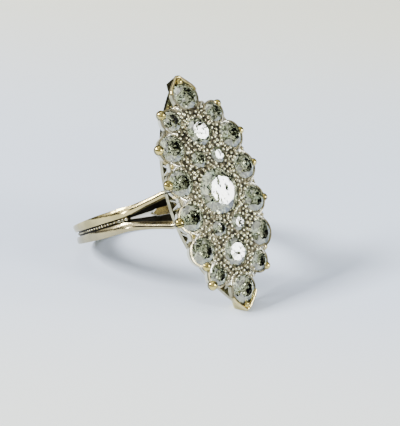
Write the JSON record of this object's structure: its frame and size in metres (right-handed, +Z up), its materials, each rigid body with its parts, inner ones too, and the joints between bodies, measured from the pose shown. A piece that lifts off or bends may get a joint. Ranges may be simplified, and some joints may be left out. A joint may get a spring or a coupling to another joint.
{
  "type": "navette cluster ring",
  "caption": "Finger ring with a long pointed-oval cluster of round brilliant stones on a domed pierced gallery, and a split shank of two reeded bands.",
  "frame": {"origin": "on the ground under the middle of the ring's box, as the ring rests on the lower tip of its head and the back of its shank", "axes": "+Z up; the head's face looks towards +X and up, its long axis leans back over -X, and +Y runs across the head, so the XZ plane halves the ring"},
  "size_m": [0.0262, 0.0198, 0.0237],
  "materials": {
    "white_gold": "polished, worn, dark in the recesses",
    "diamond": "cut and polished"
  },
  "bodies": {
    "root": {"ring_setting": "white_gold", "centre_stone": "diamond", "upper_end_stone": "diamond", "lower_end_stone": "diamond", "upper_large_stone": "diamond", "lower_large_stone": "diamond", "small_stone_1": "diamond", "small_stone_2": "diamond", "small_stone_3": "diamond", "small_stone_4": "diamond", "border_stone_01": "diamond", "border_stone_02": "diamond", "border_stone_03": "diamond", "border_stone_04": "diamond", "border_stone_05": "diamond", "border_stone_06": "diamond", "border_stone_07": "diamond", "border_stone_08": "diamond", "border_stone_09": "diamond", "border_stone_10": "diamond", "border_stone_11": "diamond", "border_stone_12": "diamond"}
  },
  "joints": []
}
